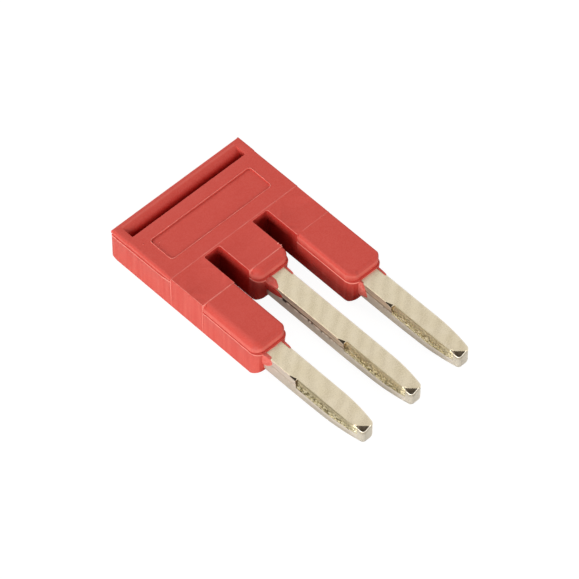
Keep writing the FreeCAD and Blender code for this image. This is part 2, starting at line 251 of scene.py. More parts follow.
class Skin:
    """Gathers the points and faces of one piece's surface, in mm."""

    def __init__(self) -> None:
        """Start with nothing."""
        self._points: list[np.ndarray] = []
        self._tones: list[np.ndarray] = []
        self._faces: list[list[int]] = []
        self._finishes: list[int] = []
        self._count = 0

    def add_points(self, points: np.ndarray, tones: Any = 0.0) -> np.ndarray:
        """Add points with their tones, from -1 for dark to 1 for pale.

        Returns:
            The points' numbers.
        """
        flat = np.asarray(points, dtype=float).reshape(-1, 3)
        self._points.append(flat)
        self._tones.append(np.broadcast_to(np.asarray(tones, dtype=float), points.shape[:-1]).reshape(-1))
        first, self._count = self._count, self._count + len(flat)
        return np.arange(first, self._count).reshape(points.shape[:-1])

    def add_faces(self, faces: np.ndarray, finishes: Any = Finish.MAIN) -> None:
        """Add faces given as rows of point numbers, with one finish or one per face."""
        self._faces.extend(faces.tolist())
        self._finishes.extend(np.broadcast_to(np.asarray(finishes, dtype=int), (len(faces),)).tolist())

    def add_rings(self, rings: np.ndarray, tones: Any, finishes: Any = Finish.MAIN) -> np.ndarray:
        """Join a stack of closed rings with quads that face outwards when the rings rise counter-clockwise.

        Args:
            rings: (rings, points, 3) places.
            tones: one tone, or one per place.
            finishes: one finish, or one per place for the quad above it.

        Returns:
            (rings, points) numbers.
        """
        numbers = self.add_points(rings, tones)
        following = np.roll(numbers, -1, axis=1)
        quads = np.stack([numbers[:-1], following[:-1], following[1:], numbers[1:]], axis=-1)
        if np.ndim(finishes) == 2:
            finishes = np.asarray(finishes)[:-1].reshape(-1)
        self.add_faces(quads.reshape(-1, 4), finishes)
        return numbers

    def fill(
        self,
        loops: Sequence[np.ndarray],
        upwards: bool = True,
        marks: np.ndarray | None = None,
        mark_tones: Any = 0.0,
        choose: Callable[[np.ndarray], np.ndarray] | None = None,
    ) -> None:
        """Close the flat region between an outer loop and the holes in it.

        A constrained Delaunay triangulation joins the loops and the marks inside them; a triangle is kept where
        its middle lies inside an odd number of loops.

        Args:
            loops: point numbers of each loop, in order.
            upwards: whether the region faces +Z.
            marks: (count, 3) further places inside the region.
            mark_tones: tones of the marks.
            choose: gives a finish for each triangle from the (count, 2) middles.
        """
        points = np.concatenate(self._points)
        plans = [points[loop, :2] for loop in loops]
        numbers = [np.asarray(loop) for loop in loops]
        if marks is not None:
            kept = inside_loops(marks[:, :2], plans)
            tones = np.broadcast_to(np.asarray(mark_tones, dtype=float), (len(marks),))
            numbers.append(self.add_points(marks[kept], tones[kept]))
            points = np.concatenate(self._points)
        everything = np.concatenate(numbers)
        edges, first = [], 0
        for loop in loops:
            count = len(loop)
            edges += [(first + i, first + (i + 1) % count) for i in range(count)]
            first += count
        places = [Vector(place) for place in points[everything, :2].tolist()]
        found, _, faces, origins, _, _ = delaunay_2d_cdt(places, edges, [], 0, 1e-7)
        if len(found) != len(places):
            raise RuntimeError("the region's loops touch or cross")
        source = np.array([origin[0] for origin in origins])
        triangles = everything[source[np.array(faces)]]
        middles = points[triangles, :2].mean(axis=1)
        kept = inside_loops(middles, plans)
        triangles, middles = triangles[kept], middles[kept]
        if not upwards:
            triangles = triangles[:, ::-1]
        self.add_faces(triangles, Finish.MAIN if choose is None else choose(middles))

    def close(self, ring: np.ndarray, pole: np.ndarray, rising: bool, tone: float) -> None:
        """Close a ring with a fan of triangles round a pole above or below it."""
        number = self.add_points(pole[None], tone)[0]
        fan = np.stack([ring, np.roll(ring, -1), np.full(len(ring), number)], axis=1)
        self.add_faces(fan if rising else fan[:, ::-1])

    def add_pebble(self, centre: Sequence[float], radii: Sequence[float], tone: float) -> None:
        """Add a small closed ellipsoid: x, y and z are the radii times sin * cos, sin * sin and cos."""
        polar = np.linspace(0, np.pi, 6)[1:-1, None]
        turn = np.linspace(0, 2 * np.pi, 9)[None, :-1]
        ball = np.stack(
            [np.sin(polar) * np.cos(turn), np.sin(polar) * np.sin(turn), np.cos(polar) + 0 * turn], axis=-1
        )
        middle, reach = np.asarray(centre), np.asarray(radii)
        numbers = self.add_rings((middle + ball * reach)[::-1], tone)
        lift = np.array([0, 0, 1]) * reach
        self.close(numbers[-1], middle + lift, True, tone)
        self.close(numbers[0], middle - lift, False, tone)

    def make(self, name: str, materials: Sequence[bpy.types.Material], sharp: float = 38.0) -> bpy.types.Object:
        """Put the surface into a mesh object at the origin, in metres.

        Args:
            name: the piece's name.
            materials: one per finish, in the order of Finish.
            sharp: angle in degrees above which an edge stays sharp.

        Returns:
            The object, linked to the scene.
        """
        mesh = bpy.data.meshes.new(name)
        points = np.concatenate(self._points) * MM
        mesh.from_pydata(points.tolist(), [], self._faces)
        mesh.polygons.foreach_set("material_index", np.array(self._finishes, dtype=np.int32))
        tone = mesh.attributes.new("tone", "FLOAT", "POINT")
        tone.data.foreach_set("value", np.concatenate(self._tones).astype(np.float32))
        for material in materials:
            mesh.materials.append(material)
        mesh.shade_smooth()
        mesh.set_sharp_from_angle(angle=math.radians(sharp))
        mesh.update()
        piece = bpy.data.objects.new(name, mesh)
        bpy.context.scene.collection.objects.link(piece)
        log.info("%s: %d faces, %d points", name, len(mesh.polygons), len(mesh.vertices))
        return piece


# --------------------------------------------------------------------------- finishes

Socket = bpy.types.NodeSocket
TORN_TOP = 1.83


def linear(code: str) -> tuple[float, float, float, float]:
    """Turn an sRGB hex colour into linear red, green, blue and alpha."""
    parts = [int(code[i : i + 2], 16) / 255 for i in (1, 3, 5)]
    return (*[p / 12.92 if p <= 0.04045 else ((p + 0.055) / 1.055) ** 2.4 for p in parts], 1.0)


class Graph:
    """Shader tree with the steps that the finishes share."""

    def __init__(self, tree: bpy.types.NodeTree) -> None:
        """Start with an empty tree."""
        tree.nodes.clear()
        self._tree = tree

    def add(self, kind: str, inputs: Mapping[Any, Any] | None = None) -> Any:
        """Add a node.

        Args:
            kind: the node's type, without "ShaderNode".
            inputs: property name, or input name or number, to its value, hex colour or the output that feeds it.

        Returns:
            The node's outputs.
        """
        node = self._tree.nodes.new(f"ShaderNode{kind}")
        for key, value in (inputs or {}).items():
            if isinstance(value, Socket):
                self._tree.links.new(value, node.inputs[key])
            elif isinstance(key, str) and hasattr(node, key):
                setattr(node, key, value)
            else:
                node.inputs[key].default_value = linear(value) if isinstance(value, str) else value
        return node.outputs

    def place(self) -> Socket:
        """Object coordinates scaled so that one unit is one millimetre."""
        metres = self.add("TexCoord")["Object"]
        return self.add("VectorMath", {"operation": "SCALE", 0: metres, "Scale": 1 / MM})[0]

    def height(self, vector: Socket) -> Socket:
        """Z of a vector."""
        return self.add("SeparateXYZ", {0: vector})["Z"]

    def stretched(self, place: Socket, scale: tuple[float, float, float]) -> Socket:
        """Coordinates scaled along each axis."""
        return self.add("Mapping", {"Vector": place, "Scale": scale})[0]

    def noise(self, place: Socket, scale: float, detail: float, roughness: float = 0.5) -> Socket:
        """Cloudy noise from 0 to 1, with scale waves per millimetre."""
        inputs = {"Vector": place, "Scale": scale, "Detail": detail, "Roughness": roughness}
        return self.add("TexNoise", inputs)["Fac"]

    def ramp(self, value: Socket, low: float, high: float, start: float = 0.0, end: float = 1.0) -> Socket:
        """Turn a value between low and high into one between start and end."""
        inputs = {"Value": value, "From Min": low, "From Max": high, "To Min": start, "To Max": end}
        return self.add("MapRange", inputs)[0]

    def times(self, first: Any, second: Any) -> Socket:
        """Product of two values."""
        return self.add("Math", {"operation": "MULTIPLY", 0: first, 1: second})[0]

    def mix(self, share: Socket, first: Any, second: Any) -> Socket:
        """Blend two colours, given as hex colours or outputs."""
        return self.add("Mix", {"data_type": "RGBA", 0: share, 6: first, 7: second})[2]

    def bump(self, height: Socket, strength: float, depth: float) -> Socket:
        """Normals of a relief, its depth in mm."""
        return self.add("Bump", {"Height": height, "Strength": strength, "Distance": depth * MM})["Normal"]

    def tone(self) -> Socket:
        """Tone that the surface carries at each point."""
        return self.add("Attribute", {"attribute_name": "tone"})["Fac"]

    def toned(self, colour: Socket, pale: str, dark: str) -> Socket:
        """Blend a colour towards a pale and a dark one by the tones that the surface carries, painted light and shade
        among them.
        """
        tone = self.tone()
        rise = self.add("Clamp", {"Value": tone})[0]
        fall = self.add("Math", {"operation": "MULTIPLY", "use_clamp": True, 0: tone, 1: -1.0})[0]
        return self.mix(fall, self.mix(rise, colour, pale), dark)

    def finish(self, inputs: Mapping[str, Any]) -> None:
        """End the tree in one principled surface."""
        self.add("OutputMaterial", {"Surface": self.add("BsdfPrincipled", inputs)[0]})


def new_material(name: str) -> tuple[bpy.types.Material, Graph]:
    """Make an empty node material."""
    material = bpy.data.materials.new(name)
    material.use_nodes = True
    return material, Graph(material.node_tree)


@dataclass(frozen=True)
class MouldedPolyamide:
    """Red polyamide, injection moulded against a finely eroded steel mould.

    The eroded steel leaves an eggshell surface: a soft sheen, grains of about a tenth of a millimetre, paler lines
    where the melt flashed between mould inserts, and faint upright streaks where the flanks left the mould. Every
    upright face is also a little paler by a painted sheen, mixed in with the streak colour.
    """

    colour: str = "#CE4E43"
    cloud: str = "#C7463B"
    streak_and_sheen: str = "#E07C6E"
    # pale serves the flash, the grains and painted highlights; dark serves only painted shade.
    pale: str = "#F59A8C"
    dark: str = "#AC0A04"
    grain: float = 0.11
    roughness: float = 0.55
    index: float = 1.53
    sheen: float = 0.2

    def build(self) -> bpy.types.Material:
        """Make the material; places toned dark with painted shade lose their sheen as well, as if they lay in narrow
        gaps.
        """
        material, graph = new_material("moulded_polyamide_red")
        place = graph.place()
        base = graph.mix(graph.noise(place, 0.55, 3.0), self.colour, self.cloud)
        upright = graph.ramp(graph.height(graph.add("NewGeometry")["Normal"]), 0.5, 0.1)
        drawn = graph.noise(graph.stretched(place, (2.2, 2.2, 0.12)), 1.0, 3.0)
        streaked_and_sheened = graph.mix(graph.times(graph.ramp(drawn, 0.4, 0.7, 0.06, 0.34), upright), base, self.streak_and_sheen)
        grains = graph.noise(place, 1 / self.grain, 2.0)
        fleck = graph.ramp(grains, 0.35, 0.65, 0.0, 0.07)
        graph.finish(
            {
                "Base Color": graph.mix(fleck, graph.toned(streaked_and_sheened, self.pale, self.dark), self.pale),
                "Normal": graph.bump(grains, 0.6, 0.012),
                "Roughness": self.roughness,
                "IOR": self.index,
                "Specular IOR Level": graph.ramp(graph.tone(), -0.7, 0.0, 0.0, self.sheen),
            }
        )
        return material


@dataclass(frozen=True)
class Plating:
    """Yellowish nickel plating on copper alloy: its name, its colours and its roughness."""

    name: str
    colour: str
    pale: str
    dark: str
    roughness: float

    def build(self) -> bpy.types.Material:
        """Make the material."""
        material, graph = new_material(self.name)
        base, relief = self._face(graph, graph.place())
        inputs = {"Base Color": graph.toned(base, self.pale, self.dark), "Metallic": 1.0, "Roughness": self.roughness}
        if relief is not None:
            inputs["Normal"] = relief
        graph.finish(inputs)
        return material

    def _face(self, graph: Graph, place: Socket) -> tuple[Socket, Socket | None]:
        """Colour and relief of the metal, from how its surface was made."""
        raise NotImplementedError


@dataclass(frozen=True)
class PlatedBlade(Plating):
    """Nickel plating on a rolled copper strip: faint streaks across the strip and a satin, cloudy sheen."""

    name: str = "nickel_plated_rolled_copper"
    colour: str = "#C8BB9D"
    pale: str = "#FBF3E4"
    dark: str = "#2C2319"
    roughness: float = 0.36
    cloud: str = "#D4C9B4"
    speck: str = "#9F9074"
    streak_angle: float = 0.9

    def _face(self, graph: Graph, place: Socket) -> tuple[Socket, Socket | None]:
        """Clouds, then dark specks that gather in the rolling streaks."""
        base = graph.mix(graph.noise(place, 0.9, 4.0, 0.6), self.colour, self.cloud)
        grains = graph.noise(place, 11.0, 3.0)
        turned = graph.add("Mapping", {"Vector": place, "Rotation": (0.0, 0.0, self.streak_angle)})[0]
        streaks = {"Vector": turned, "Scale": 0.28, "Distortion": 9.0, "Detail": 3.0, "Detail Scale": 0.6}
        ripples = graph.add("TexWave", streaks)["Fac"]
        mottle = graph.add("Math", {"operation": "MULTIPLY_ADD", 0: ripples, 1: 0.16, 2: grains})[0]
        specked = graph.mix(graph.ramp(mottle, 0.49, 0.8, 0.0, 0.44), base, self.speck)
        return specked, graph.bump(grains, 0.25, 0.004)


@dataclass(frozen=True)
class ShearedFlank(Plating):
    """Plated edge that a punch cut: a burnished band with fine scores along it above a torn, greyer band."""

    name: str = "nickel_plated_sheared_edge"
    colour: str = "#E0C6A6"
    pale: str = "#F4EADB"
    dark: str = "#3A2418"
    roughness: float = 0.3
    torn: str = "#E2D6C4"
    score: str = "#4E3024"

    def _face(self, graph: Graph, place: Socket) -> tuple[Socket, Socket | None]:
        """Two bands that meet at the torn band's top, and scores in the upper one."""
        upper = graph.ramp(graph.height(place), TORN_TOP - 0.03, TORN_TOP + 0.03)
        base = graph.mix(upper, self.torn, self.colour)
        scores = graph.noise(graph.stretched(place, (1.0, 0.4, 3.2)), 1.0, 4.0)
        scored = graph.ramp(scores, 0.47, 0.56, 0.0, 0.3)
        return graph.mix(graph.times(scored, upper), base, self.score), graph.bump(scores, 0.4, 0.008)


@dataclass(frozen=True)
class CoinedBevel(Plating):
    """Plated edge that a die pressed down after punching.

    The pressed metal is crushed into coarse grains, so it looks olive and sparkles; towards the blade's face it
    turns smooth and as pale as the face.
    """

    name: str = "nickel_plated_coined_edge"
    colour: str = "#75694A"
    pale: str = "#E9DEBD"
    dark: str = "#463A20"
    roughness: float = 0.38
    light: str = "#E0D09C"
    edge: str = "#BCAE8E"

    def _face(self, graph: Graph, place: Socket) -> tuple[Socket, Socket | None]:
        """Dark and light grains that give way to the edge's colour near the blade's face."""
        grains = graph.add("TexVoronoi", {"Vector": place, "Scale": 11.0})
        crushed = graph.mix(graph.ramp(grains["Color"], 0.35, 0.75), self.colour, self.light)
        smooth = graph.ramp(graph.height(place), 2.1, 2.58)
        return graph.mix(smooth, crushed, self.edge), graph.bump(grains["Distance"], 0.5, 0.02)


@dataclass(frozen=True)
class PressedFacet(Plating):
    """Plated facet pressed flat by a polished die; its dark colour is a painted reflection of the dark under the
    lamps.
    """

    name: str = "pressed_facet_painted_reflection"
    colour: str = "#786C5B"
    pale: str = "#FBF3E4"
    dark: str = "#231B12"
    roughness: float = 0.25

    def _face(self, graph: Graph, place: Socket) -> tuple[Socket, Socket | None]:
        """Clouds without relief."""
        return graph.mix(graph.noise(place, 3.0, 2.0), self.colour, self.dark), None


# --------------------------------------------------------------------------- housing


# Rows of the housing's upright section, from the underside up.
LOW_WALL, WALL_TOP, FLASH_FOOT, FLASH_EDGE = slice(0, 8), 8, 9, 10
GROOVE, ROUND_FOOT, ROUND_TOP = slice(11, 15), slice(15, 18), slice(21, 24)


class Zones:
    """Where the points of the housing's outline lie: masks, and shares from 0 to 1."""

    def __init__(self, housing: "Housing", plan: Outline) -> None:
        """Sort the points by their station, their leg and the way that they face."""
        self.x, y = plan.points.T
        self.station = REAR - y
        self.cap, self.label, self.waist = (
            self.station < end for end in (housing.cap_end, housing.label_end, housing.waist_end)
        )
        self.sharp = self.waist & ~self.label
        self.parted = ~self.sharp
        across, forward = plan.inward.T
        self.leftward = np.clip(across, 0, 1)
        self.rightward = np.clip(-across, 0, 1) ** 2
        self.front = np.clip(forward, 0, 1) * (self.station > 9.0)
        self.nose_face = self.front * (forward > 0.8)
        self.flank = np.abs(across) > 0.5
        self.right_leg = self.x > 3
        self.facing_left = (self.right_leg & (self.x < 5)) * self.leftward
        self.outer_right = self.rightward * (self.x > 5)
        self.inner_right = self.rightward * (np.abs(self.x) < 5)
        self.inside = np.abs(self.x) < housing.half_width - 0.3
        self.deep = self.inside & (self.station > housing.gap_root - 0.1)


@dataclass
class Housing:
    """Red moulding with a pull slot, a label recess and three legs; sizes in mm, stations from the rear edge.

    The label zone's seam and ledge are tables of stations and of the depths below the top there. The steps are the
    insets of the upper edge in the cap, the label zone, the waist and the legs.
    """

    half_width: float = 6.85
    leg_half: float = 1.8
    leg_gap: float = 1.6
    cap_end: float = 1.9
    label_end: float = 6.9
    gap_root: float = 7.1
    waist_end: float = 10.55
    middle_end: float = 11.65
    outer_end: float = 16.82
    parting: float = 0.8
    corner_radius: float = 0.07
    nose_radius: float = 0.88
    right_nose_radius: float = 0.8
    root_radius: float = 0.12
    leg_round: float = 0.74
    outer_right_less: float = 0.62
    inner_right_less: float = 0.5
    facing_left_less: float = 0.44
    nose_less: float = 0.15
    label_round: float = 0.27
    label_right_less: float = 0.17
    waist_round: float = 0.05
    widest_round: float = 0.79
    label_seam: tuple = ((0, 5.0, 6.2, 6.9), (0.62, 0.52, 0.45, 0.28))
    label_ledge: tuple = ((0, 6.2, 6.9), (0.31, 0.3, 0.2))
    waist_seam: float = 0.3
    waist_ledge: float = 0.2
    steps: tuple[float, ...] = (-0.05, -0.012, 0.0, 0.02)
    right_step: float = 0.04
    nose_step: float = 0.13
    label_groove: float = 0.05
    leg_groove: float = 0.055
    flash_least: float = 0.02
    flash_more: float = 0.045
    foot_round: float = 0.04
    gap_foot: float = 0.25
    nose_foot: float = 0.55
    rear_foot: float = 0.28
    nose_draft: float = 0.06
    right_draft: float = 0.33
    # Painted shade: the groove under the upper shell, and the low and high parts of the walls in the gaps and on the
    # noses.
    groove_shade_tones: tuple[float, ...] = (0.0, -0.3, -0.35, -0.1)
    low_wall_shade: float = -0.75
    high_wall_shade: float = -0.3
    slot_start: float = 0.36
    slot_end: float = 1.72
    slot_wall: float = 0.72
    slot_depth: float = 2.4
    bar_round: float = 0.8
    recess_start: float = 2.93
    recess_end: float = 5.52
    recess_wall: float = 1.44
    recess_depth: float = 0.1
    flash_rise: float = 0.028
    side_line_rise: float = 0.03

    def outline(self) -> Outline:
        """Plan of the moulding, with pairs of points on both sides of each change of section."""
        wide, half, inner = self.half_width, self.leg_half, self.leg_half + self.leg_gap
        outer_y, middle_y, root_y = REAR - self.outer_end, REAR - self.middle_end, REAR - self.gap_root
        nose, right_nose, root = self.nose_radius, self.right_nose_radius, self.root_radius
        places = (
            (-wide, REAR, self.corner_radius),
            (-wide, outer_y, nose),
            (-inner, outer_y, right_nose),
            (-inner, root_y, root),
            (-half, root_y, root),
            (-half, middle_y, nose),
            (half, middle_y, right_nose),
            (half, root_y, root),
            (inner, root_y, root),
            (inner, outer_y, nose),
            (wide, outer_y, right_nose),
            (wide, REAR, self.corner_radius),
        )
        breaks = (self.cap_end, self.label_end, self.waist_end)
        stations = [REAR - b + side for b in breaks for side in (-0.05, -STEP_HALF, STEP_HALF, 0.05)]
        return Outline.rounded([Corner(*place) for place in places], stations, 0.12)

    def shell(self, skin: Skin) -> tuple[np.ndarray, np.ndarray]:
        """Side walls and rounded upper edges.

        Every point of the outline carries one upright section: a small radius at the underside, the wall, the
        flash line and groove where the mould parted, and a quarter circle into the top, inset = step + radius *
        (1 - cos) and height = top - radius + radius * sin. The sizes change from zone to zone, and the radius
        is less by the given amounts on noses and on flanks that face right or look into a gap.

        Args:
            skin: takes the faces.

        Returns:
            The numbers of the lowest and of the highest ring.
        """
        plan = self.outline()
        zones = Zones(self, plan)
        station, front, outer_right = zones.station, zones.front, zones.outer_right
        pair, triple = [zones.label, zones.waist], [zones.cap, zones.label, zones.waist]
        leg_radius = self.leg_round - self.outer_right_less * outer_right - self.inner_right_less * zones.inner_right
        leg_radius = leg_radius - self.facing_left_less * zones.facing_left
        leg_radius = leg_radius - self.nose_less * front * (1 + zones.right_leg)
        label_radius = self.label_round - self.label_right_less * outer_right
        radius = np.select(pair, [label_radius, self.waist_round], leg_radius)
        low_drop = np.select(pair, [np.interp(station, *self.label_seam), self.waist_seam], self.parting)
        high_drop = np.select(pair, [np.interp(station, *self.label_ledge), self.waist_ledge], low_drop - 0.1)
        radius = np.clip(radius, 0.03, high_drop - 0.03)
        upper = np.select(triple, self.steps[:3], self.steps[3]) - self.right_step * outer_right * zones.parted
        upper = upper + self.nose_step * front
        reach = np.minimum(radius, self.widest_round - upper)
        groove = np.select(pair, [self.label_groove, 0.0], self.leg_groove)
        flash = self.flash_least + self.flash_more * ragged(plan.along, 0.4, 3) ** 2
        flash = np.where(zones.parted, flash, 0.0)
        seam, ledge = HOUSING_TOP - low_drop, HOUSING_TOP - high_drop
        foot = np.where(zones.flank & zones.inside, self.gap_foot, self.foot_round)
        foot = foot * np.clip((station - self.gap_root) / 1.5, 0.1, 1)
        foot = np.maximum(foot, self.foot_round + self.nose_foot * front)
        foot = np.maximum(foot, self.rear_foot * np.clip(1 - station / 0.6, 0, 1))
        draft = front * (self.nose_draft + self.right_draft * zones.rightward)

        sections: list[tuple[Any, Any]] = [(draft + foot + 0.06, 0.0)]
        for turn in np.linspace(0, QUARTER, 6):
            sections.append((draft + foot * (1 - np.sin(turn)), foot * (1 - np.cos(turn))))
        sections += [
            (draft * 0.5, seam * 0.5),
            (0.0, seam - 0.17),
            (-0.7 * flash, seam - 0.13),
            (-flash, seam - 0.012),
            (-0.3 * flash, seam),
            (groove * 0.75, seam + 0.02),
            (groove, ledge - 0.006),
            (upper, ledge),
        ]
        for turn in np.linspace(0, QUARTER, 9):
            sections.append((upper + reach * (1 - np.cos(turn)), HOUSING_TOP - radius + radius * np.sin(turn)))
        burr = np.where(zones.sharp, 0.03 * ragged(plan.along, 0.2, 11) ** 3, 0.0)
        sections += [(upper + reach + 0.03, HOUSING_TOP + burr), (upper + reach + 0.07, HOUSING_TOP)]

        sheet = Sheet.of(sections, len(station))
        rings = plan.stack(sheet.insets, sheet.heights)
        self._shade_walls(zones, plan.along, sheet.tones)
        self._mark_sides(zones, rings, sheet.tones)
        numbers = skin.add_rings(rings, sheet.tones)
        return numbers[0], numbers[-1]

    def _shade_walls(self, zones: Zones, along: np.ndarray, tones: np.ndarray) -> None:
        """Tone the walls: pale flash, partly a painted highlight, over a groove darkened with painted shade; painted
        shade low in the gaps between the legs, on the noses' front faces and on the right leg's left flank; painted
        highlights on the rounding above the seam and on the sharp edges.
        """
        parted, sharp = zones.parted, zones.sharp
        uneven = ragged(along, 0.7, 5)
        # Flash lines: paler as flash, and partly as a painted highlight.
        tones[FLASH_FOOT] = np.where(parted, 0.45 + 0.4 * uneven, 0)
        tones[FLASH_EDGE] = np.where(parted, 0.6 + 0.4 * uneven, 0)
        # Painted shade in the groove under the upper shell's overhang.
        tones[GROOVE] = np.where(parted, np.array(self.groove_shade_tones)[:, None], 0)
        # Painted highlight on the rounding just above the seam.
        tones[ROUND_FOOT] = np.where(parted, 0.18, 0)
        # Painted shade low in the gaps between the legs and on the noses' front faces.
        shade = np.where(zones.deep, np.clip((self.middle_end + 0.6 - zones.station) / 2.0, 0, 1), 0.0)
        shade = np.maximum(shade, 0.6 * zones.nose_face)
        tones[LOW_WALL] = self.low_wall_shade * shade
        tones[WALL_TOP] = self.high_wall_shade * shade
        # Painted shade on the right leg's left flank.
        begun = np.clip((zones.station - self.middle_end + 1.4) / 1.6, 0, 1)
        tones[: WALL_TOP + 1] -= 0.5 * zones.facing_left * begun
        tones[:5] -= 0.2 * zones.facing_left * begun
        # Painted shade down the gap walls, right from their sharp top edges.
        between = slice(WALL_TOP, ROUND_TOP.start)
        tones[between] = np.where(sharp & zones.deep, -0.68 * shade, tones[between])
        # Painted highlight on the sharp upper edges, brighter where they face left towards the key lamp.
        lit = (0.3 + 0.7 * zones.leftward) * (0.35 + 0.6 * ragged(along, 0.16, 9))
        tones[ROUND_TOP] = np.where(sharp, lit, tones[ROUND_TOP])
        crest = (np.abs(zones.station - self.waist_end) < 0.02) & ~zones.right_leg & zones.flank
        tones[ROUND_FOOT.start : -1] = np.where(crest, 0.75, tones[ROUND_FOOT.start : -1])

    def _mark_sides(self, zones: Zones, rings: np.ndarray, tones: np.ndarray) -> None:
        """Raise the upright lines that the mould inserts left down the outer flanks."""
        outer = np.abs(np.abs(zones.x) - self.half_width) < 0.01
        inner_rows = (rings[..., 2] > 0.05) & (rings[..., 2] < HOUSING_TOP - 0.05)
        rise = np.where(inner_rows, self.side_line_rise, 0.0)
        for station in (self.label_end, self.waist_end):
            crest = outer & (np.abs(zones.station - station) < 0.02)
            rings[:, crest, 0] += (rise * np.sign(zones.x))[:, crest]
            tones[:, crest] = np.maximum(tones[:, crest], np.where(rise[:, crest] > 0, 0.9, 0.3))

    def top_lines(self) -> tuple[np.ndarray, np.ndarray]:
        """Raised lines that the mould inserts left across the top.

        Five rows of places cross the top at each line, and the middle row stands proud by a ragged height.

        Returns:
            The places and their tones.
        """
        half, inner, wide = self.leg_half, self.leg_half + self.leg_gap, self.half_width
        spans = [
            (self.label_end, -wide + 0.16, wide - 0.16, 0.55),
            (self.waist_end, -wide + 0.8, -inner - 0.3, 1.0),
            (self.waist_end, -half + 0.3, half - 0.3, 0.9),
            (self.waist_end, inner + 0.8, wide - 0.3, 0.4),
        ]
        places, tones = [], []
        for index, (station, left, right, strength) in enumerate(spans):
            across = np.arange(left, right, 0.09)
            bumps = ragged(across - left, 0.5, 20 + index)
            for offset, share in ((-0.1, 0.0), (-0.05, 0.2), (0.0, 1.0), (0.05, 0.2), (0.1, 0.0)):
                rise = share * self.flash_rise * (0.6 + 0.8 * bumps)
                row = [across, np.full_like(across, REAR - station + offset), HOUSING_TOP + rise]
                places.append(np.stack(row, axis=1))
                tones.append(share * strength * (0.35 + 0.65 * bumps))
        return np.concatenate(places), np.concatenate(tones)

    def slot(self, skin: Skin) -> np.ndarray:
        """Blind slot in front of the pull bar.

        The bar's front is a quarter circle: at a turn t the rear side of the slot stands radius * sin t in front
        of the opening's rear edge and radius * (1 - cos t) below the top. Below it, the walls are upright.

        Returns:
            The numbers of the ring that lies in the top.
        """
        front, rear = REAR - self.slot_end, REAR - self.slot_start
        plan = Outline.rectangle(self.half_width - self.slot_wall, rear, front, 0.08, 0.15)
        turns = np.linspace(0, QUARTER, 14)
        floor = HOUSING_TOP - self.slot_depth
        low = [floor + 0.6, floor + 0.06, floor + 0.012, floor, floor]
        shifts = np.concatenate([self.bar_round * np.sin(turns), np.full(len(low), self.bar_round)])
        heights = np.concatenate([HOUSING_TOP - self.bar_round * (1 - np.cos(turns)), low])
        insets = np.concatenate([[-0.03, -0.008], np.zeros(len(turns)), [0.012, 0.04, 0.07]])
        sheet = Sheet.of(list(zip(insets, heights)), len(plan.points))
        rings = plan.stack(sheet.insets, sheet.heights)
        share = 1 - shifts / (rear - front)
        rings[..., 1] = front + (rings[..., 1] - front) * share[:, None]
        # Painted shade: the slot darkens with depth; the rim along the bar's edge is a little paler, a painted
        # highlight.
        tones = -0.72 * np.clip((HOUSING_TOP - rings[..., 2]) / 0.5, 0, 1) ** 1.3
        tones[:2] = 0.12 * np.clip(-plan.inward[:, 1], 0, 1)
        numbers = skin.add_rings(rings, tones)
        skin.fill([numbers[-1]])
        return numbers[0]

    def recess(self, skin: Skin) -> np.ndarray:
        """Shallow label recess with a ragged raised line round its rim.

        Returns:
            The numbers of the ring that lies in the top.
        """
        front, rear = REAR - self.recess_end, REAR - self.recess_start
        plan = Outline.rectangle(self.half_width - self.recess_wall, rear, front, 0.3, 0.1)
        uneven = ragged(plan.along, 0.35, 7)
        rise = self.flash_rise * (0.5 + uneven)
        floor = HOUSING_TOP - self.recess_depth
        sections = [
            (-0.12, HOUSING_TOP),
            (-0.06, HOUSING_TOP),
            (-0.03, HOUSING_TOP + rise),
            (-0.008, HOUSING_TOP + 0.8 * rise),
            (0.006, HOUSING_TOP - 0.02),
            (0.014, floor),
            (0.05, floor),
        ]
        sheet = Sheet.of(sections, len(uneven))
        # The raised rim line is paler as flash and partly as a painted highlight; the wall inside it is darker with
        # painted shade.
        sheet.tones[2:4] = 0.3 + 0.6 * uneven
        sheet.tones[4:6] = -0.2
        numbers = skin.add_rings(plan.stack(sheet.insets, sheet.heights), sheet.tones)
        skin.fill([numbers[-1]])
        return numbers[0]

    def crumbs(self, skin: Skin) -> None:
        """Scraps of flash that stand on the rim and the edges: X, station and size."""
        scraps = [
            (-3.35, 2.9, 0.07),
            (1.95, 2.88, 0.05),
            (-5.42, 4.0, 0.05),
            (-6.05, 2.85, 0.04),
            (-5.0, 3.6, 0.035),
            (-5.3, 5.5, 0.04),
            (1.72, 10.12, 0.1),
            (1.78, 10.4, 0.09),
        ]
        for x, station, size in scraps:
            skin.add_pebble((x, REAR - station, HOUSING_TOP + 0.01), (size, size * 0.6, 0.035), 0.85)

    def build(self, materials: Sequence[bpy.types.Material]) -> bpy.types.Object:
        """Make the housing's object."""
        skin = Skin()
        bottom, top = self.shell(skin)
        skin.fill([bottom], upwards=False)
        slot, recess = self.slot(skin), self.recess(skin)
        places, tones = self.top_lines()
        skin.fill([top, slot, recess], marks=places, mark_tones=tones)
        self.crumbs(skin)
        for collar in COLLARS:
            collar.add_to(skin)
        return skin.make("housing_moulding", materials)


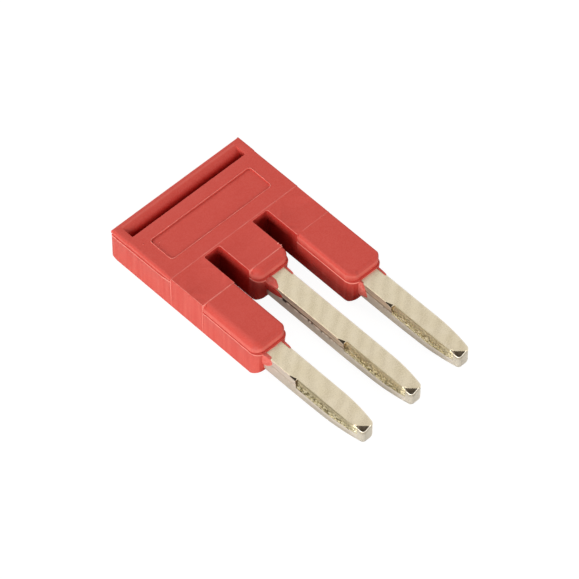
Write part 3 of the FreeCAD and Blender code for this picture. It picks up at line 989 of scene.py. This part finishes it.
@dataclass(frozen=True)
class Collar:
    """Lip of plastic that crept along a prong's flank where it leaves its leg; sizes in mm.

    At each height the lip is a quarter ellipse: forward = length * cos and out = thickness * sin. The lengths
    belong to the heights given with them, and the thickness falls off towards the lower end. The top of the lip
    lies over the prong's upper edge by its cover, and is rounded there when the cover is wide.
    """

    centre: float
    station: float
    side: int
    heights: tuple[float, ...]
    lengths: tuple[float, ...]
    thickness: float
    cover: float = 0.05
    tone: float = 0.2

    def add_to(self, skin: Skin) -> None:
        """Build the lip from the lowest section to the highest, and close both ends."""
        low, high = min(self.heights), max(self.heights)
        level = np.append(np.linspace(0, 1, 12), [1.0, 1.0])[:, None]
        height = low + (high - low) * level
        length = np.interp(height, self.heights, self.lengths)
        fade = np.clip(level / 0.2, 0.05, 1) ** 0.5
        lean, sink = np.zeros_like(level), np.zeros_like(level)
        lean[-3:, 0] = 0.06, 0.5, 1.0
        sink[-3:, 0] = 0.015, -0.01, -0.012
        height = height - sink
        turn = np.linspace(0, QUARTER, 7)[None]
        shorten = 1 - 0.5 * lean**2 if self.cover > 0.2 else 1.0
        forward = length * fade * shorten * np.cos(turn)
        out = self.thickness * fade * np.sin(turn) * (1 - 0.55 * lean) - self.cover * lean
        root, inner = np.full((len(level), 2), -0.25), -0.06 - self.cover * lean
        forward = np.concatenate([forward, root, forward[:, :1] * 0.9], axis=1)
        out = np.concatenate([out, out[:, -1:], inner, inner], axis=1)
        across = self.centre + self.side * (PRONG_HALF + out)
        rings = np.stack([across, REAR - self.station - forward, np.broadcast_to(height, out.shape)], axis=-1)
        if self.side > 0:
            rings = rings[:, ::-1]
        uneven = np.random.default_rng(len(self.heights)).random(rings.shape[:2])
        streaks = np.clip(0.6 * (uneven - 0.5), -max(self.tone, 0), None)
        numbers = skin.add_rings(rings[:, ::-1], self.tone + streaks)
        skin.close(numbers[0], rings[0].mean(axis=0), False, self.tone)
        skin.close(numbers[-1], rings[-1].mean(axis=0), True, self.tone)


PRONG_HALF = 0.975
LIP_TOP = BLADE_HIGH + 0.035
OUTER_LIP, MIDDLE_LIP = 16.78, 11.62
COLLARS = (
    Collar(-PITCH, OUTER_LIP, -1, (1.3, 1.8, 2.2, LIP_TOP), (0.3, 0.75, 1.0, 0.75), 0.12, 0.16),
    Collar(0.0, MIDDLE_LIP, -1, (2.3, 2.5, LIP_TOP), (0.9, 1.2, 1.3), 0.1, 0.46),
    # This lower lip on the middle prong's left lies in the left leg's shadow: its tone of -0.45 is painted shade.
    Collar(0.0, MIDDLE_LIP, -1, (1.45, 1.8, 2.1, 2.3), (0.6, 1.7, 1.85, 1.4), 0.09, 0.0, -0.45),
    Collar(PITCH, OUTER_LIP, -1, (0.95, 1.3, 1.8, 2.3, LIP_TOP), (0.7, 0.95, 0.75, 0.55, 0.4), 0.12, 0.04),
    *(
        Collar(centre, station, 1, (1.6, 2.0, LIP_TOP), (0.4, 0.8, 1.05), 0.1)
        for centre, station in ((-PITCH, OUTER_LIP), (0.0, MIDDLE_LIP), (PITCH, OUTER_LIP))
    ),
)


# --------------------------------------------------------------------------- contact comb


# Rows of the comb's upright section, from the underside up: where the torn band and the wall start, where the wall
# ends in the bevel or the rounded edge, and the first row on top.
BAND, WALL, FOLD, EDGE = 6, 13, 38, 48


@dataclass(frozen=True)
class Prong:
    """What differs from prong to prong: its place, bevel and dent in mm, then the tones of its flank and bevel, which
    are painted light and shade: paler where a prong lies open to the lamps, darker where it faces its shaded
    neighbours.
    """

    centre: float
    bevel_width: float
    bevel_depth: float
    dent: float
    shade: float
    low_shade: float
    line: float
    coined_shade: float


class Flanks:
    """What was done to the comb's edge at each point of its outline, as masks and shares from 0 to 1."""

    def __init__(self, comb: "ContactComb") -> None:
        """Sort the outline's points by their station, side and prong."""
        self.plan, self._owner, left = comb.outline()
        self._prongs = comb.prongs
        x, y = self.plan.points.T
        self.station = station = REAR - y
        self.along = self.plan.along
        self.coined = left & (station > comb.notch) & (station < comb.tip - comb.coined_clear)
        self.dented = left & (station > comb.dent_start) & (station < comb.notch - 0.06)
        self.share = np.clip((station - comb.dent_start) / (comb.notch - 0.1 - comb.dent_start), 0, 1)
        self.lip = left & (np.abs(station - comb.notch + 0.02) < 0.07)
        self.blunt = station > comb.tip - comb.blunt_length
        self.right = (self.plan.inward[:, 0] < -0.5) & (self._owner >= 0)
        self.drop = comb.dip(x, station)
        self.high = BLADE_HIGH - self.drop

    def own(self, name: str) -> np.ndarray:
        """One of the prongs' values at each point, and 0 on the bridge."""
        chosen = [self._owner == number for number in range(len(self._prongs))]
        return np.select(chosen, [getattr(prong, name) for prong in self._prongs], 0.0)


@dataclass
class ContactComb:
    """One stamping: a bridge strip in the housing and three tapered prongs; sizes in mm, stations from the rear."""

    tip: float = 27.5
    bridge_start: float = 3.4
    bridge_front: float = 6.3
    taper_start: float = 23.6
    taper_inset: float = 0.36
    nose_start: float = 0.44
    nose_radius: float = 0.38
    notch: float = 20.4
    dent_start: float = 19.7
    rough_low: float = 1.74
    edge_round: float = 0.05
    coined_clear: float = 0.6
    blunt_length: float = 0.9
    least_bevel: float = 0.03
    foot_start: float = 20.0
    foot_run: float = 7.5
    foot_least: float = 0.05
    foot_more: float = 0.5
    foot_widest: float = 0.33
    crumple_depth: float = 0.035
    line_height: float = 1.93
    line_spread: float = 0.085
    line_depth: float = 0.02
    speck_height: float = 1.77
    speck_spread: float = 0.09
    lit_spread: float = 0.16
    rim_rises: tuple[float, float] = (0.03, 0.035)
    facet_x: float = -0.65
    facet_station: float = 26.63
    facet_run: float = 0.87
    facet_depth: float = 0.4
    prongs: tuple[Prong, ...] = (
        Prong(-PITCH, 0.2, 0.9, 0.16, 0.8, 0.5, 0.8, 0.12),
        Prong(0.0, 0.34, 0.6, 0.22, 0.14, -0.25, 1.5, 0.0),
        Prong(PITCH, 0.3, 0.6, 0.2, 0.1, -0.08, 1.0, 0.24),
    )

    def taper(self, station: np.ndarray) -> np.ndarray:
        """Inset of a flank: the taper's inset times the square of the way along it."""
        share = np.clip((station - self.taper_start) / (self.tip - 0.3 - self.taper_start), 0, None)
        return self.taper_inset * share**2

    def outline(self) -> tuple[Outline, np.ndarray, np.ndarray]:
        """Plan of the comb.

        Each flank follows the taper, and an arc on each side joins it to the blunt nose: across = middle + radius
        * cos and forward = middle + radius * sin.

        Returns:
            The outline, the prong number of each point (-1 on the bridge), and a mask of the left flanks.
        """
        end = self.tip - self.nose_start
        left_run = np.concatenate(
            [
                np.linspace(self.bridge_front, 19.2, 70),
                np.linspace(19.25, self.notch - 0.05, 24),
                [self.notch - 0.02, self.notch + 0.02],
                np.linspace(self.notch + 0.06, end, 130),
            ]
        )
        right_run = np.concatenate([np.linspace(self.bridge_front, 23.4, 90), np.linspace(23.5, end, 40)])[::-1]
        slope = math.atan(2 * self.taper_inset / (self.tip - 0.3 - self.taper_start))
        arc = np.linspace(slope, QUARTER, 12)
        arc_y = self.tip - self.nose_radius + self.nose_radius * np.sin(arc)
        reach = PRONG_HALF - float(self.taper(np.array([arc_y[0]]))[0]) - self.nose_radius * math.cos(slope)
        arc_x = reach + self.nose_radius * np.cos(arc)
        nose = np.linspace(-reach, reach, 8)[1:-1]
        left_x, right_x = self.taper(left_run) - PRONG_HALF, PRONG_HALF - self.taper(right_run)
        across = np.concatenate([left_x, -arc_x, nose, arc_x[::-1], right_x])
        station = np.concatenate([left_run, arc_y, np.full_like(nose, self.tip), arc_y[::-1], right_run])
        plans = [np.stack([prong.centre + across, REAR - station], axis=1) for prong in self.prongs]
        edge, back = PITCH + PRONG_HALF, REAR - self.bridge_start
        plans.append(np.array([[edge, back], [-edge, back]]))
        owner = np.append(np.repeat(np.arange(len(self.prongs)), len(across)), [-1, -1])
        left = np.tile(np.arange(len(across)) < len(left_run) + len(arc), len(self.prongs))
        return Outline.through(np.concatenate(plans)), owner, np.append(left, [False, False])

    def dip(self, x: np.ndarray, station: np.ndarray) -> np.ndarray:
        """Depth of the pressed facet on each tip's front left corner.

        It grows with the distance in front of the line that runs forward and to the right at 45 degrees from the
        facet's start, and reaches the facet's depth at the corner.
        """
        depth = np.zeros_like(x)
        for prong in self.prongs:
            beside = x - prong.centre
            beyond = ((station - self.facet_station) - (beside - self.facet_x)) / math.sqrt(2)
            near = np.abs(beside) < PRONG_HALF
            depth = np.maximum(depth, np.where(near, np.clip(beyond, 0, None) * 0.7, 0))
        return np.minimum(depth, self.facet_depth)

    def build(self, materials: Sequence[bpy.types.Material]) -> bpy.types.Object:
        """Make the comb's object."""
        flanks = Flanks(self)
        sheet = self._sections(flanks)
        self._roughen(flanks, sheet)
        self._line_flank(flanks, sheet)
        self._shade(flanks, sheet)
        self._mark_edges(flanks, sheet)
        skin = Skin()
        numbers = skin.add_rings(flanks.plan.stack(sheet.insets, sheet.heights), sheet.tones, sheet.finishes)
        skin.fill([numbers[0]], upwards=False)
        # The row of marks just over each facet's edge is a little darker: painted reflection, like the facet's own
        # colour.
        tones = np.tile(np.repeat([0.0, -0.1], 9), len(self.prongs))
        skin.fill([numbers[-1]], marks=self._facet_marks(), mark_tones=tones, choose=self._facet_finish)
        return skin.make("comb_stamping", materials, 32.0)

    def _sections(self, flanks: Flanks) -> Sheet:
        """Give every point of the outline one upright section.

        On a plain flank it is a wall with a rounded foot and edge. In front of the notch the upper part of the
        left flank leans in as a bevel, whose width shrinks by the taper's inset, and behind it as a dent.
        """
        station, high = flanks.station, flanks.high
        width, depth, dent = (flanks.own(name) for name in ("bevel_width", "bevel_depth", "dent"))
        lean = np.where(flanks.coined, np.clip(width - self.taper(station), self.least_bevel, None), 0.0)
        fall = np.where(flanks.coined, depth * lean / np.where(width > 0, width, 1.0), 0.0)
        lean = np.where(flanks.dented, dent * flanks.share**1.2, lean)
        fall = np.where(flanks.dented, 0.75 * dent * flanks.share**1.2, fall)
        bend = high - np.maximum(fall, self.edge_round)
        grown = np.clip((station - self.foot_start) / self.foot_run, 0, 1) ** 1.5
        foot = self.foot_least + self.foot_more * grown
        under = np.minimum(foot, self.foot_widest)
        sections: list[tuple[Any, Any]] = [(under + 0.04, BLADE_LOW)]
        for turn in np.linspace(0, QUARTER, BAND - 1):
            sections.append((under * (1 - np.sin(turn)), BLADE_LOW + foot * (1 - np.cos(turn))))
        for level in np.linspace(0, 1, WALL - BAND + 2)[1:-1]:
            sections.append((0.0, BLADE_LOW + foot + (self.rough_low - BLADE_LOW - foot) * level))
        for level in np.linspace(0, 1, FOLD - WALL + 1):
            sections.append((0.0, self.rough_low + (bend - self.rough_low) * level))
        for level in np.linspace(0, 1, EDGE - FOLD)[1:]:
            sections.append((lean * level, bend + (high - bend) * level - self.edge_round * 0.4 * level**6))
        sections += [(lean + 0.02, high - 0.006), (lean + 0.05, high), (lean + 0.1, high)]
        sheet = Sheet.of(sections, len(station))
        sheet.finishes[:EDGE] = int(Finish.FLANK)
        return sheet

    def _roughen(self, flanks: Flanks, sheet: Sheet) -> None:
        """Crush the coined edge: shallow random dents, pale and dark grains under its fold, a pale line below."""
        rows, coined, station = np.arange(WALL, EDGE), flanks.coined[None], flanks.station
        below = flanks.high[None] - sheet.heights[rows]
        crumple = np.stack([ragged(flanks.along, 0.13, 100 + int(row)) for row in rows])
        speck = np.stack([ragged(flanks.along, 0.16, 200 + int(row)) for row in rows])
        dents = self.crumple_depth * (crumple - 0.5) * np.clip(below / 0.15, 0, 1)
        sheet.insets[rows] += np.where(coined, dents, 0)
        fold = np.clip((below - 0.35) / 0.1, 0, 1)
        tone = 0.7 * fold * (speck > 0.58) - 0.55 * fold * (speck < 0.36)
        tone *= np.clip((self.tip - self.coined_clear - station) / 1.2, 0, 1)
        sheet.tones[rows] = np.where(coined, np.clip(tone, -1, 1), sheet.tones[rows])
        lit = np.exp(-(((sheet.heights[:WALL] - self.rough_low + 0.12) / self.lit_spread) ** 2))
        sheet.tones[:WALL] += np.where(coined, 0.95 * lit - 0.12 * np.clip((station - self.notch) / 2.0, 0, 1), 0)
        sheet.finishes[rows] = np.where(coined, int(Finish.COINED), sheet.finishes[rows])

    def _line_flank(self, flanks: Flanks, sheet: Sheet) -> None:
        """Sink the dark line between the burnished and the torn band, with pale specks under it; towards the housing
        the line is darker still, a painted reflection of the shaded housing.
        """
        station, along = flanks.station, flanks.along
        plain = ~flanks.coined & (station < self.tip - self.blunt_length)
        # Stronger towards the housing: painted reflection of the shaded housing on top of the real line.
        strength = plain * flanks.own("line") * np.clip(5.4 - station / 4, 0.7, 2.4)
        wander = 0.06 * (ragged(along, 0.7, 61) - 0.5)
        line = np.exp(-(((sheet.heights - self.line_height - wander[None]) / self.line_spread) ** 2))
        sheet.insets += self.line_depth * line * (strength > 0)[None]
        speck, fine = ragged(along, 0.14, 62), ragged(along, 0.11, 63)
        under = np.exp(-(((sheet.heights - self.speck_height - wander[None]) / self.speck_spread) ** 2))
        tone = -0.75 * line * (0.4 + 0.9 * speck)[None]
        tone += under * np.select([speck > 0.64, fine < 0.3], [0.8, -0.5], 0.0)[None]
        sheet.tones += np.where(tone < 0, strength, np.minimum(strength, 1.5)) * tone

    def _shade(self, flanks: Flanks, sheet: Sheet) -> None:
        """Paint each prong's own light and shade onto its flank and bevel, and let both turn smooth, and pale with a
        painted reflection of the bright floor, towards the nose.
        """
        station, coined = flanks.station, flanks.coined
        plain = ~flanks.blunt & ~coined
        sheet.finishes[:, flanks.blunt & ~coined] = int(Finish.MAIN)
        fading = np.where(coined, 0.95, 0.6) * np.clip((station - self.tip + 1.4) / 0.8, 0, 1)
        sheet.tones[:EDGE] += fading * np.clip((flanks.high - sheet.heights[:EDGE]) / 0.4, 0.2, 1)
        low_shade = flanks.own("low_shade") * np.clip((self.notch + 0.1 - station) / 2.5, 0, 1)
        shades = np.where(sheet.heights[BAND:EDGE] > TORN_TOP, flanks.own("shade"), low_shade)
        sheet.tones[BAND:EDGE] += np.where(plain, shades, 0.0)
        sheet.tones[WALL : EDGE - 2] += coined * flanks.own("coined_shade")

    def _mark_edges(self, flanks: Flanks, sheet: Sheet) -> None:
        """Paint light and shade at the edges: the dents dark as a painted reflection with a painted highlight under
        them, painted shade at the notch's lip and along the coined edge's top, painted shade high on the right flanks
        under a painted highlight on their edge, and painted highlights on the facets' raised rims with a dark line of
        painted reflection inside them.
        """
        dented, lip, right, tipped = flanks.dented, flanks.lip, flanks.right, flanks.drop > 0.012
        tones, middle = sheet.tones, (WALL + FOLD + 1) // 2
        sheet.finishes[FOLD : EDGE + 1, dented] = int(Finish.FACET)
        tones[FOLD : EDGE + 1, dented] = -0.7
        tones[FOLD - 3 : FOLD, dented & (flanks.share > 0.35)] = 0.7
        tones[middle:EDGE, lip] = -0.7
        tones[EDGE - 2 : EDGE + 2, flanks.coined & ~lip & (flanks.station < self.tip - 1.0)] = -0.26
        tones[FOLD - 1 : EDGE - 1, right] = -0.5
        tones[EDGE - 1 : EDGE + 2, right] = 0.35
        tones[EDGE : EDGE + 2, tipped] = 0.9
        tones[EDGE + 2, tipped] = -0.7
        sheet.heights[EDGE, tipped] += self.rim_rises[0]
        sheet.heights[EDGE + 1, tipped] += self.rim_rises[1]

    def _facet_marks(self) -> np.ndarray:
        """Two rows of places along each facet's upper edge: one on the top and one just over the edge."""
        share = np.linspace(0.12, 0.88, 9)
        rows = []
        for prong in self.prongs:
            for over in (-0.012, 0.03):
                x = prong.centre + self.facet_x + self.facet_run * share - over * 0.707
                station = self.facet_station + self.facet_run * share + over * 0.707
                rows.append(np.stack([x, REAR - station, BLADE_HIGH - self.dip(x, station)], axis=1))
        return np.concatenate(rows)

    def _facet_finish(self, middles: np.ndarray) -> np.ndarray:
        """Give the triangles of the pressed facets their own finish."""
        sunk = self.dip(middles[:, 0], REAR - middles[:, 1]) > 0.003
        return np.where(sunk, int(Finish.FACET), int(Finish.MAIN))


# --------------------------------------------------------------------------- studio


@dataclass
class Studio:
    """Pale floor, soft lamps and the camera at the photograph's angle; lengths in metres."""

    azimuth: float = -43.73
    elevation: float = 52.35
    distance: float = 0.3908
    focal_pixels: float = 4959.0
    photo_side: float = 579.0
    target: tuple[float, float, float] = (0.000248, 0.000774, 0.0015)
    floor_half: float = 2.0

    def _place(self, name: str, data: Any) -> bpy.types.Object:
        """Put new data into an object of the scene."""
        holder = bpy.data.objects.new(name, data)
        bpy.context.scene.collection.objects.link(holder)
        return holder

    def camera(self) -> None:
        """Place the camera: target + distance * (sin az * cos el, -cos az * cos el, sin el)."""
        around, up = math.radians(self.azimuth), math.radians(self.elevation)
        back = Vector((math.sin(around) * math.cos(up), -math.cos(around) * math.cos(up), math.sin(up)))
        data = bpy.data.cameras.new("camera")
        data.sensor_fit = "HORIZONTAL"
        data.angle = 2 * math.atan(self.photo_side / 2 / self.focal_pixels)
        data.clip_start, data.clip_end = 0.01, 5.0
        holder = self._place("camera", data)
        holder.location = Vector(self.target) + back * self.distance
        holder.rotation_mode = "QUATERNION"
        holder.rotation_quaternion = (-back).to_track_quat("-Z", "Y")
        bpy.context.scene.camera = holder

    def lamp(self, name: str, place: Sequence[float], size: float, power: float) -> None:
        """Add a square soft lamp that faces the part."""
        data = bpy.data.lights.new(name, "AREA")
        data.size, data.energy = size, power
        holder = self._place(name, data)
        holder.location = place
        holder.rotation_euler = (-Vector(place)).to_track_quat("-Z", "Y").to_euler()

    def _seen(self, graph: Graph, camera: float, mirrored: float) -> Socket:
        """One value for camera rays, another for rays off glossy or through clear surfaces, otherwise 0."""
        path = graph.add("LightPath")
        rays = {"operation": "MAXIMUM", 0: path["Is Glossy Ray"], 1: path["Is Transmission Ray"]}
        weaker = graph.times(graph.add("Math", rays)[0], mirrored)
        return graph.add("Math", {"operation": "MULTIPLY_ADD", 0: path["Is Camera Ray"], 1: camera, 2: weaker})[0]

    def world(self) -> None:
        """Even light from all round; what the camera and the metal see of it is white."""
        world = bpy.data.worlds.new("studio")
        world.use_nodes = True
        bpy.context.scene.world = world
        graph = Graph(world.node_tree)
        strength = graph.ramp(self._seen(graph, 1.0, 1.0), 0.0, 1.0, 0.1, 1.0)
        glow = graph.add("Background", {"Color": (1, 1, 1, 1), "Strength": strength})
        graph.add("OutputWorld", {"Surface": glow[0]})

    def floor(self) -> None:
        """White floor under the part, lower by a hair so that the underside doesn't touch it."""
        side, drop = self.floor_half, -0.01 * MM
        mesh = bpy.data.meshes.new("floor")
        square = [(-side, -side, drop), (side, -side, drop), (side, side, drop), (-side, side, drop)]
        mesh.from_pydata(square, [], [(0, 1, 2, 3)])
        material, graph = new_material("studio_floor")
        diffuse = graph.add("BsdfDiffuse", {"Color": "#E1E1E1"})[0]
        glow = graph.add("Emission", {"Color": (1, 1, 1, 1), "Strength": 1.12})[0]
        both = graph.add("MixShader", {0: self._seen(graph, 0.84, 0.16), 1: diffuse, 2: glow})[0]
        graph.add("OutputMaterial", {"Surface": both})
        mesh.materials.append(material)
        piece = self._place("floor", mesh)

    def build(self) -> None:
        """Set up the whole studio."""
        self.camera()
        self.world()
        self.floor()
        self.lamp("key", (-0.52, -0.23, 0.18), 0.3, 3.5)
        self.lamp("right", (0.46, -0.38, 0.24), 0.3, 1.6)
        self.lamp("rear", (-0.05, 0.55, 0.4), 0.4, 3.4)
        bpy.context.scene.view_settings.view_transform = "Standard"


def main() -> None:
    """Build the pieces and the studio."""
    logging.basicConfig(level=logging.INFO, format="%(name)s: %(message)s")
    plastic = MouldedPolyamide().build()
    metals = [PlatedBlade().build(), ShearedFlank().build(), CoinedBevel().build(), PressedFacet().build()]
    housing = Housing().build([plastic])
    comb = ContactComb().build(metals)
    for piece, node, slot in ((housing, "housing", "red_plastic"), (comb, "contact_comb", "plated_copper")):
        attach(piece, "root")
        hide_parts(node)
        log.info("%s stands for %s", piece.name, node)
    Studio().build()


if __name__ == "__main__":
    main()
